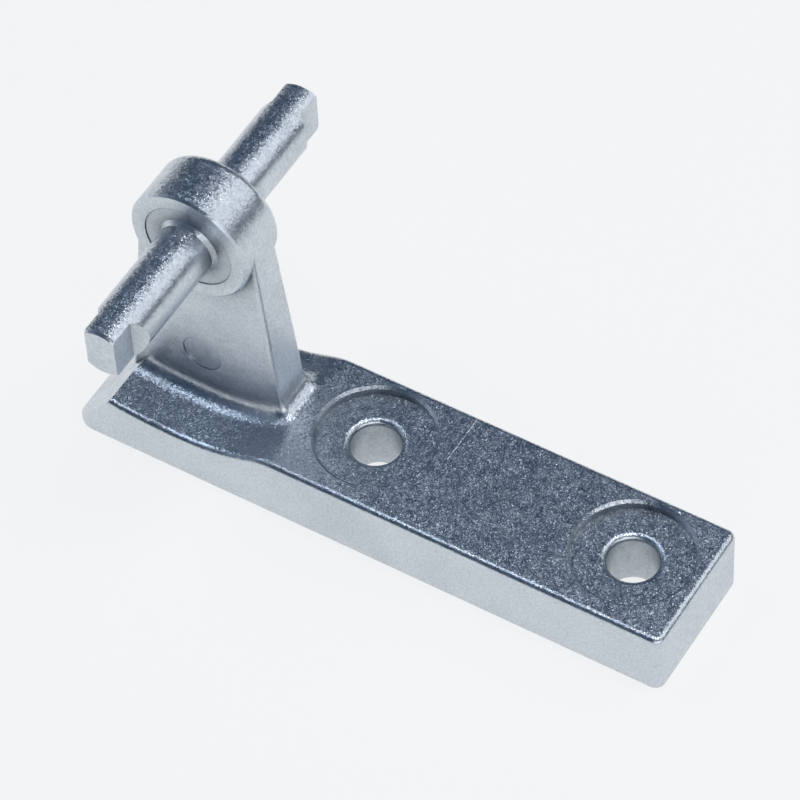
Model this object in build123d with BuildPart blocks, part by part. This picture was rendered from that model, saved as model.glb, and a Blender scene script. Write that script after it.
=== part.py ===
from build123d import *
import os
from math import asin, cos, degrees, isclose, radians, sin, tan

# Middle hinge of a two-door fridge: one zinc die casting of a screw-down bar, an upright arm and a fixed pin.
# Millimetres, +Z up. X runs along the bar, from the arm towards its free end, and the pin lies along Y.
# The origin is midway between the two screw holes, on the flat underside that is screwed to the cabinet.

# Screw holes and the bar around them
screw_spacing = 36.0
screw_hole_d = 6.4
screw_lip_round = 0.8
counterbore_d = 15.2
counterbore_depth = 1.3
counterbore_chamfer = 0.35
front_land = 2.8
back_land = 1.3
end_land = 1.9
bar_height = 9.3
bar_edge_round = 0.8
end_corner_r = 1.3
heel_corner_r = 3.0

# Heel: the sloped end of the bar under the arm, and the scoop in its top
heel_reach = 15.8
heel_slope = 39.5
scoop_depth = 2.75
scoop_floor_r = 60.0
ogee_run = 14.0
ogee_foot = 8.5
ogee_brow = 3.5

# Arm and boss
pin_to_screw = 22.7
pin_height = 35.5
arm_offset = 0.35
boss_d = 16.3
boss_length = 7.9
boss_front_chamfer = 0.3
boss_back_round = 1.2
arm_top_thickness = 4.7
arm_root_thickness = 6.0
arm_flare = 5.8
arm_edge_round = 0.5
arm_root_fillet = 2.4

# Pin, the same on both sides of the boss, with two flats at each tip
pin_d = 7.3
pin_reach = 22.5
pin_tip_chamfer = 0.35
pin_root_chamfer = 0.5
flat_width = 4.1
flat_length = 3.6
flat_runout = 1.4

# Shallow marks that the ejectors leave on the front of the boss and of the arm
sleeve_mark_d = 12.2
ejector_mark_d = 5.5
ejector_mark_drop = 21.6
ejector_mark_side = 0.5
mark_depth = 0.12

# Places and sizes worked out from those above
screw_hole_r = screw_hole_d / 2
counterbore_r = counterbore_d / 2
boss_r = boss_d / 2
pin_r = pin_d / 2
near_screw_x = -screw_spacing / 2
far_screw_x = screw_spacing / 2
pin_x = near_screw_x - pin_to_screw
heel_x = pin_x - heel_reach
end_x = far_screw_x + counterbore_r + end_land
front_y = -(counterbore_r + front_land)
back_y = counterbore_r + back_land
bar_length = end_x - heel_x
bar_width = back_y - front_y
heel_run = bar_height * tan(radians(heel_slope))
scoop_floor_z = bar_height - scoop_depth
floor_turn = degrees(asin(heel_reach / scoop_floor_r))
across_bar = Plane.XZ.offset(-back_y)
pin_centre = (pin_x, 0, pin_height)
arm_centre = (pin_x, arm_offset, pin_height)
across_arm = Plane(origin=arm_centre, x_dir=(1, 0, 0), z_dir=(0, -1, 0))
along_arm = Plane(origin=arm_centre, x_dir=(0, 1, 0), z_dir=(1, 0, 0))


# Bar: a rounded plan, with the scoop taken out of its top and its upper rim rounded
with BuildPart() as bar:
    with BuildSketch(Plane.XY):
        with Locations(((heel_x + end_x) / 2, (front_y + back_y) / 2)):
            Rectangle(bar_length, bar_width)
        fillet(vertices().group_by(Axis.X)[0], radius=heel_corner_r)
        fillet(vertices().group_by(Axis.X)[-1], radius=end_corner_r)
    extrude(amount=bar_height)

    with BuildSketch(across_bar):
        with BuildLine():
            ogee_top = (pin_x + ogee_run, bar_height)
            brow_handle = (pin_x + ogee_run - ogee_brow, bar_height)
            foot_handle = (pin_x + ogee_foot, scoop_floor_z)
            ogee = Bezier(ogee_top, brow_handle, foot_handle, (pin_x, scoop_floor_z))
            floor = JernArc(ogee @ 1, (-1, 0), scoop_floor_r, -floor_turn)
            clear_z = 2 * bar_height
            Polyline(floor @ 1, (heel_x, clear_z), (pin_x + ogee_run, clear_z), ogee_top)
        make_face()
    extrude(amount=bar_width, mode=Mode.SUBTRACT)

    upper_rim = edges().group_by(Axis.Z)[-1].sort_by(Axis.X)[-1]
    fillet(upper_rim, radius=bar_edge_round)


# Arm: a flared plate, tangent to the boss at its top, rooted inside the bar and thicker towards its root
flare = radians(arm_flare)
tangent_x = boss_r * cos(flare)
tangent_z = boss_r * sin(flare)
root_z = scoop_floor_z / 3 - pin_height
root_x = tangent_x + (tangent_z - root_z) * tan(flare)
thickening = (arm_root_thickness - arm_top_thickness) / (pin_height - scoop_floor_z)
root_half = (arm_top_thickness - thickening * root_z) / 2
crown_half = (arm_top_thickness - thickening * boss_r) / 2

with BuildPart() as arm:
    with BuildSketch(across_arm):
        with BuildLine():
            left_tangent = (-tangent_x, tangent_z)
            right_tangent = (tangent_x, tangent_z)
            Polyline(left_tangent, (-root_x, root_z), (root_x, root_z), right_tangent)
            ThreePointArc(right_tangent, (0, boss_r), left_tangent)
        make_face()
    extrude(amount=root_half, both=True)

    with BuildSketch(along_arm):
        with BuildLine():
            root_side = Line((-root_half, root_z), (root_half, root_z))
            crown_side = Line((crown_half, boss_r), (-crown_half, boss_r))
            Line(root_side @ 1, crown_side @ 0)
            Line(crown_side @ 1, root_side @ 0)
        make_face()
    extrude(amount=root_x, both=True, mode=Mode.INTERSECT)
    front_outline = faces().sort_by(Axis.Y)[0].edges()
    back_outline = faces().sort_by(Axis.Y)[-1].edges()
    outlines = front_outline + back_outline
    fillet(outlines.filter_by(lambda edge: edge.center().Z > bar_height), radius=arm_edge_round)

    # A round ejector has left a shallow dish low on the front face
    mark_half = (arm_top_thickness + thickening * ejector_mark_drop) / 2
    with BuildSketch(across_arm.offset(mark_half - mark_depth)):
        with Locations((-ejector_mark_side, -ejector_mark_drop)):
            Circle(ejector_mark_d / 2)
    extrude(amount=root_half, mode=Mode.SUBTRACT)


# Heel cut: the wedge that slopes the bar's end, stopping at the arm
with BuildPart() as heel_cut:
    with BuildSketch(across_bar):
        with BuildLine():
            Polyline((heel_x, 0), (heel_x + heel_run, bar_height), (heel_x, bar_height), close=True)
        make_face()
    extrude(amount=bar_width)
    add(arm.part, mode=Mode.SUBTRACT)


# Boss: a short drum round the pin, with the ejector sleeve's ring pressed into its front face
with BuildPart() as boss:
    with BuildSketch(across_arm):
        Circle(boss_r)
    extrude(amount=boss_length / 2, both=True)
    chamfer(edges().group_by(Axis.Y)[0], length=boss_front_chamfer)
    fillet(edges().group_by(Axis.Y)[-1], radius=boss_back_round)
    with BuildSketch(across_arm.offset(boss_length / 2)):
        Circle(sleeve_mark_d / 2)
    extrude(amount=-mark_depth, mode=Mode.SUBTRACT)


# Pin: one half turned about its axis, cut to a double-D at the tip and mirrored to the other side
with BuildPart() as pin:
    with BuildSketch(Plane(origin=pin_centre)):
        with BuildLine():
            Polyline(
                (0, 0),
                (pin_r, 0),
                (pin_r, pin_reach - pin_tip_chamfer),
                (pin_r - pin_tip_chamfer, pin_reach),
                (0, pin_reach),
                close=True,
            )
        make_face()
    revolve(axis=Axis(pin_centre, (0, 1, 0)))

    with BuildSketch(Plane(origin=pin_centre)):
        with BuildLine():
            flat_half = flat_width / 2
            flat_start = pin_reach - flat_length
            Polyline(
                (flat_half, pin_reach),
                (flat_half, flat_start),
                (pin_r, flat_start - flat_runout),
                (pin_d, flat_start - flat_runout),
                (pin_d, pin_reach),
                close=True,
            )
        make_face()
        mirror(about=Plane.YZ)
    extrude(amount=pin_r, both=True, mode=Mode.SUBTRACT)
    mirror(about=Plane.XZ)


# The casting: bar, arm, boss and pin in one piece, blended where they meet and bored for the screws
with BuildPart() as hinge_bracket:
    add(bar.part)
    add(arm.part)
    fillet(edges(Select.NEW), radius=arm_root_fillet)
    add(heel_cut.part, mode=Mode.SUBTRACT)

    add(boss.part)
    add(pin.part)
    pin_roots = edges(Select.NEW).filter_by(GeomType.CIRCLE)
    chamfer(pin_roots, length=pin_root_chamfer)

    with Locations((near_screw_x, 0, bar_height), (far_screw_x, 0, bar_height)):
        CounterBoreHole(screw_hole_r, counterbore_r, counterbore_depth)
    rings = edges().filter_by(GeomType.CIRCLE)
    rims = rings.filter_by(lambda edge: isclose(edge.radius, counterbore_r)).group_by(Axis.Z)[-1]
    lips = rings.filter_by(lambda edge: isclose(edge.radius, screw_hole_r)).group_by(Axis.Z)[-1]
    chamfer(rims, length=counterbore_chamfer)
    fillet(lips, radius=screw_lip_round)

os.makedirs("parts", exist_ok=True)
hinge_bracket.part.label = "hinge_bracket"
export_step(hinge_bracket.part, "parts/hinge_bracket.step")
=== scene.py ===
import bpy
from mathutils import Matrix, Vector

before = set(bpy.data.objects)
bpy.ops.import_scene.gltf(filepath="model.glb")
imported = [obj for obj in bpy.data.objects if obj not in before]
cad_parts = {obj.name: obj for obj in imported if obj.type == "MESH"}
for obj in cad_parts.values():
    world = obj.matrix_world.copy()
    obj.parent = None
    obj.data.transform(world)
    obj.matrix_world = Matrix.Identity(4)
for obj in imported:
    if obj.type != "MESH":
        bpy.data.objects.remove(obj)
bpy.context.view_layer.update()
scene = bpy.context.scene
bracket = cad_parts["hinge_bracket"]

# Lengths are in metres. X runs along the bar, Y along the pin, and Z up from the face that is screwed on.

# Casting: the two tones that it varies between, and the dark colour of painted shade on walls in corners
# and holes
dark_zinc = (0.51, 0.565, 0.62, 1.0)
pale_zinc = (0.73, 0.775, 0.82, 1.0)
painted_shade_zinc = (0.05, 0.065, 0.09, 1.0)

# Casting: its noises, in waves per metre, the part of their range that is used, and their shares
cloud_scale = 160.0
pit_scale = 900.0
speckle_scale = 2600.0
noise_range = (0.30, 0.70)
cloud_share = 0.3
speckle_share = 0.7

# Casting: grains of two sizes, each with its own lean, and the polish
coarse_grain = 0.00018
fine_grain = 0.00011
top_lean = 0.21
wall_lean = 0.25 * top_lean
top_roughness = 0.31
wall_roughness = 0.40
roughness_spread = 0.10

# Casting: where walls turn into tops, for the polish, the lean and the painted shade, from 0 upright to 1
# level
polish_range = (0.10, 0.50)
lean_range = (0.50, 0.97)
painted_shade_range = (0.30, 0.60)

# Casting: how near the sheltering shape is, and the open share of the view where the painted shade is full
# and where it is none
painted_shade_reach = 0.004
painted_shade_span = (0.58, 0.88)

# Die line: a worn ridge across the bar's top, from the back edge to beside the first counterbore
die_line_x = -0.00855
die_line_end = 0.0012
die_line_fade = 0.0005
die_line_width = 0.00012
die_line_crest = 0.3 * die_line_width
die_line_height = 0.00005
die_line_wear = 0.4
worn_range = (0.40, 0.55)
bar_height = 0.0093
top_skin = 0.0001

# Floor and room
white = (1.0, 1.0, 1.0, 1.0)
floor_reach = 1.5
floor_height = -0.00005
floor_colour = (0.90, 0.90, 0.90, 1.0)
floor_roughness = 0.9
floor_white = 0.8
room_colour = (0.03, 0.055, 0.10, 1.0)
backdrop_range = (0.02, 0.08)

# Lamps
aim_point = (-0.015, 0.0, 0.015)
plain_light = (1.0, 1.0, 1.0)
cool_light = (0.86, 0.98, 1.16)
key_light = (0.95, 0.99, 1.05)
bar_line = (1.0, 0.0, 0.0)
strip_line = (0.62, 0.785, 0.0)

# Camera: the photo's view, with the lens and the sensor in millimetres
camera_place = (0.18366, -0.29616, 0.46179)
camera_right = (0.8559, 0.5158, -0.0373)
camera_back = (0.3479, -0.5210, 0.7795)
camera_lens = 212.81
camera_sensor = 36.0
camera_clip = (0.01, 10.0)


# Helpers for shader trees

def empty_tree(owner):
    owner.use_nodes = True
    owner.node_tree.nodes.clear()
    return owner.node_tree


def add_node(tree, kind, **values):
    node = tree.nodes.new(kind)
    for key, value in values.items():
        setattr(node, key, value)
    return node


def feed(tree, value, socket):
    """Links a node's output to the socket, or sets the socket to a plain value."""
    if isinstance(value, bpy.types.NodeSocket):
        tree.links.new(value, socket)
    else:
        socket.default_value = value


def math_node(tree, operation, first, second=None):
    node = add_node(tree, "ShaderNodeMath", operation=operation)
    feed(tree, first, node.inputs[0])
    if second is not None:
        feed(tree, second, node.inputs[1])
    return node.outputs[0]


def vector_node(tree, operation, first, second=None):
    node = add_node(tree, "ShaderNodeVectorMath", operation=operation)
    feed(tree, first, node.inputs[0])
    if second is not None:
        feed(tree, second, node.inputs["Scale" if operation == "SCALE" else 1])
    return node.outputs[0]


def split_node(tree, vector):
    node = add_node(tree, "ShaderNodeSeparateXYZ")
    feed(tree, vector, node.inputs[0])
    return node.outputs


def ramp_node(tree, value, span, result=(0.0, 1.0)):
    """The value, mapped evenly from the span to the result and held at both ends."""
    node = add_node(tree, "ShaderNodeMapRange", clamp=True)
    feed(tree, value, node.inputs["Value"])
    for name, limit in zip(("From Min", "From Max", "To Min", "To Max"), (*span, *result)):
        feed(tree, limit, node.inputs[name])
    return node.outputs["Result"]


def noise_node(tree, place, scale, detail=2.0, roughness=0.5):
    node = add_node(tree, "ShaderNodeTexNoise")
    feed(tree, place, node.inputs["Vector"])
    feed(tree, scale, node.inputs["Scale"])
    feed(tree, detail, node.inputs["Detail"])
    feed(tree, roughness, node.inputs["Roughness"])
    return node.outputs["Fac"]


def mix_colours(tree, share, first, second):
    node = add_node(tree, "ShaderNodeMix", data_type="RGBA")
    feed(tree, share, node.inputs["Factor"])
    feed(tree, first, node.inputs["A"])
    feed(tree, second, node.inputs["B"])
    return node.outputs["Result"]


def mix_shaders(tree, share, first, second):
    node = add_node(tree, "ShaderNodeMixShader")
    feed(tree, share, node.inputs["Fac"])
    feed(tree, first, node.inputs[1])
    feed(tree, second, node.inputs[2])
    return node.outputs[0]


# Casting: blue-grey metal with clouds of tone, a fine grain that sparkles, painted shade in corners and
# holes, and a die line

def random_cells(tree, place, size):
    cells = add_node(tree, "ShaderNodeTexVoronoi")
    feed(tree, place, cells.inputs["Vector"])
    feed(tree, 1.0 / size, cells.inputs["Scale"])
    return cells.outputs["Color"]


def grain_normal(tree, place, amount, normal):
    """The normal, with a random lean in each cell of the coarse and of the fine grain."""
    for size in (coarse_grain, fine_grain):
        centred = vector_node(tree, "SUBTRACT", random_cells(tree, place, size), (0.5, 0.5, 0.5))
        normal = vector_node(tree, "ADD", normal, vector_node(tree, "SCALE", centred, amount))
    return vector_node(tree, "NORMALIZE", normal)


def die_line(tree, place, pits):
    """The height of the die line, from 0 beside it to 1 on its crest, and less where it is worn."""
    axes = split_node(tree, place)
    aside = math_node(tree, "ABSOLUTE", math_node(tree, "SUBTRACT", axes["X"], die_line_x))
    ridge = ramp_node(tree, aside, (die_line_crest, die_line_width), (1.0, 0.0))
    length = ramp_node(tree, axes["Y"], (die_line_end, die_line_end + die_line_fade))
    top = ramp_node(tree, axes["Z"], (bar_height - top_skin, bar_height - top_skin / 2))
    whole = math_node(tree, "MULTIPLY", ridge, math_node(tree, "MULTIPLY", length, top))
    return math_node(tree, "MULTIPLY", whole, ramp_node(tree, pits, worn_range, (die_line_wear, 1.0)))


def painted_wall_shade(tree, upward):
    """Painted shade: one on walls deep in a corner or a hole, where shade falls, and 0 in the open."""
    shelter = add_node(tree, "ShaderNodeAmbientOcclusion", samples=4, only_local=True)
    feed(tree, painted_shade_reach, shelter.inputs["Distance"])
    deep = ramp_node(tree, shelter.outputs["AO"], painted_shade_span, (1.0, 0.0))
    return math_node(tree, "MULTIPLY", deep, ramp_node(tree, upward, painted_shade_range, (1.0, 0.0)))


def casting_tone_and_shade(tree, place, upward):
    clouds = noise_node(tree, place, cloud_scale, detail=3.0, roughness=0.55)
    cloudy = ramp_node(tree, clouds, noise_range, (0.0, cloud_share))
    speckled = ramp_node(tree, noise_node(tree, place, speckle_scale), noise_range, (0.0, speckle_share))
    tone = mix_colours(tree, math_node(tree, "ADD", cloudy, speckled), dark_zinc, pale_zinc)
    # Painted shade: the tone is darkened towards the shade colour on walls deep in corners and holes
    return mix_colours(tree, painted_wall_shade(tree, upward), tone, painted_shade_zinc)


def casting_roughness(tree, pits, upward):
    polish = ramp_node(tree, upward, polish_range, (wall_roughness, top_roughness))
    unevenness = ramp_node(tree, pits, noise_range, (-roughness_spread / 2, roughness_spread / 2))
    return math_node(tree, "ADD", polish, unevenness)


def casting_normal(tree, place, pits, upward):
    ridge = add_node(tree, "ShaderNodeBump")
    feed(tree, 1.0, ridge.inputs["Strength"])
    feed(tree, die_line_height, ridge.inputs["Distance"])
    feed(tree, die_line(tree, place, pits), ridge.inputs["Height"])
    amount = ramp_node(tree, upward, lean_range, (wall_lean, top_lean))
    return grain_normal(tree, place, amount, ridge.outputs[0])


def casting_material():
    material = bpy.data.materials.new("zinc_casting")
    tree = empty_tree(material)
    coordinates = add_node(tree, "ShaderNodeTexCoord")
    place = coordinates.outputs["Object"]
    upward = math_node(tree, "ABSOLUTE", split_node(tree, coordinates.outputs["Normal"])["Z"])
    pits = noise_node(tree, place, pit_scale)

    shader = add_node(tree, "ShaderNodeBsdfPrincipled")
    feed(tree, 1.0, shader.inputs["Metallic"])
    feed(tree, casting_tone_and_shade(tree, place, upward), shader.inputs["Base Color"])
    feed(tree, casting_roughness(tree, pits, upward), shader.inputs["Roughness"])
    feed(tree, casting_normal(tree, place, pits, upward), shader.inputs["Normal"])
    output = add_node(tree, "ShaderNodeOutputMaterial")
    feed(tree, shader.outputs[0], output.inputs["Surface"])
    return material


# Floor: plain and pale, it keeps the shadow

def seen_directly(tree):
    """One for camera, glossy and transmission rays, so that the metal mirrors the floor as it is seen."""
    path = add_node(tree, "ShaderNodeLightPath").outputs
    shiny = math_node(tree, "MAXIMUM", path["Is Glossy Ray"], path["Is Transmission Ray"])
    return math_node(tree, "MAXIMUM", path["Is Camera Ray"], shiny)


def floor_material():
    material = bpy.data.materials.new("floor")
    tree = empty_tree(material)
    lit = add_node(tree, "ShaderNodeBsdfPrincipled")
    feed(tree, floor_colour, lit.inputs["Base Color"])
    feed(tree, floor_roughness, lit.inputs["Roughness"])
    feed(tree, 0.0, lit.inputs["Specular IOR Level"])
    bright = add_node(tree, "ShaderNodeEmission")
    feed(tree, white, bright.inputs["Color"])
    feed(tree, 1.0, bright.inputs["Strength"])
    share = math_node(tree, "MULTIPLY", seen_directly(tree), floor_white)
    output = add_node(tree, "ShaderNodeOutputMaterial")
    feed(tree, mix_shaders(tree, share, lit.outputs[0], bright.outputs[0]), output.inputs["Surface"])
    return material


def floor_object():
    mesh = bpy.data.meshes.new("floor")
    signs = ((-1, -1), (1, -1), (1, 1), (-1, 1))
    corners = [(x * floor_reach, y * floor_reach, floor_height) for x, y in signs]
    mesh.from_pydata(corners, [], [(0, 1, 2, 3)])
    mesh.materials.append(floor_material())
    floor = bpy.data.objects.new("floor", mesh)
    scene.collection.objects.link(floor)
    return floor


# Light: a dim room with a low white backdrop, and soft boxes

def background(tree, colour):
    node = add_node(tree, "ShaderNodeBackground")
    feed(tree, colour, node.inputs["Color"])
    feed(tree, 1.0, node.inputs["Strength"])
    return node.outputs[0]


def studio_world():
    world = bpy.data.worlds.new("studio")
    tree = empty_tree(world)
    direction = split_node(tree, add_node(tree, "ShaderNodeTexCoord").outputs["Generated"])
    above = ramp_node(tree, direction["Z"], backdrop_range)
    output = add_node(tree, "ShaderNodeOutputWorld")
    surroundings = mix_shaders(tree, above, background(tree, white), background(tree, room_colour))
    feed(tree, surroundings, output.inputs["Surface"])
    return world


def place_by_axes(thing, right, up, back, place):
    turn = Matrix((right, up, back)).transposed().to_4x4()
    thing.matrix_world = Matrix.Translation(place) @ turn
    scene.collection.objects.link(thing)


def soft_box(name, direction, distance, size, power, colour=plain_light, along=bar_line):
    """An oval lamp that faces the aim point from that direction, with its first size along that line."""
    lamp = bpy.data.lights.new(name, "AREA")
    lamp.shape = "ELLIPSE"
    lamp.size, lamp.size_y = size
    lamp.energy = power
    lamp.color = colour
    away = Vector(direction).normalized()
    side = away.cross(Vector(along)).normalized()
    place = Vector(aim_point) + away * distance
    place_by_axes(bpy.data.objects.new(name, lamp), side.cross(away), side, away, place)


def soft_boxes():
    soft_box("overhead", (-0.53, 0.0, 0.85), distance=0.8, size=(0.42, 0.36), power=0.80, colour=cool_light)
    soft_box("side", (0.479, 0.514, 0.712), distance=0.8, size=(0.78, 0.58), power=1.25)
    soft_box("key", (0.12, 0.02, 0.99), distance=1.0, size=(0.45, 0.45), power=2.3, colour=key_light)
    soft_box("front", (0.714, -0.558, 0.423), distance=1.0, size=(1.8, 0.40), power=3.2, along=strip_line)
    soft_box("left", (-0.85, -0.40, 0.35), distance=0.9, size=(0.7, 0.7), power=0.2, colour=cool_light)


# Camera

def photo_camera():
    data = bpy.data.cameras.new("camera")
    data.sensor_width = camera_sensor
    data.lens = camera_lens
    data.clip_start, data.clip_end = camera_clip
    camera = bpy.data.objects.new("camera", data)
    back = Vector(camera_back).normalized()
    up = back.cross(Vector(camera_right)).normalized()
    place_by_axes(camera, up.cross(back), up, back, camera_place)
    return camera


bracket.data.materials.clear()
bracket.data.materials.append(casting_material())
floor = floor_object()
scene.world = studio_world()
soft_boxes()
scene.camera = photo_camera()
scene.view_settings.view_transform = "Standard"

bpy.context.view_layer.update()
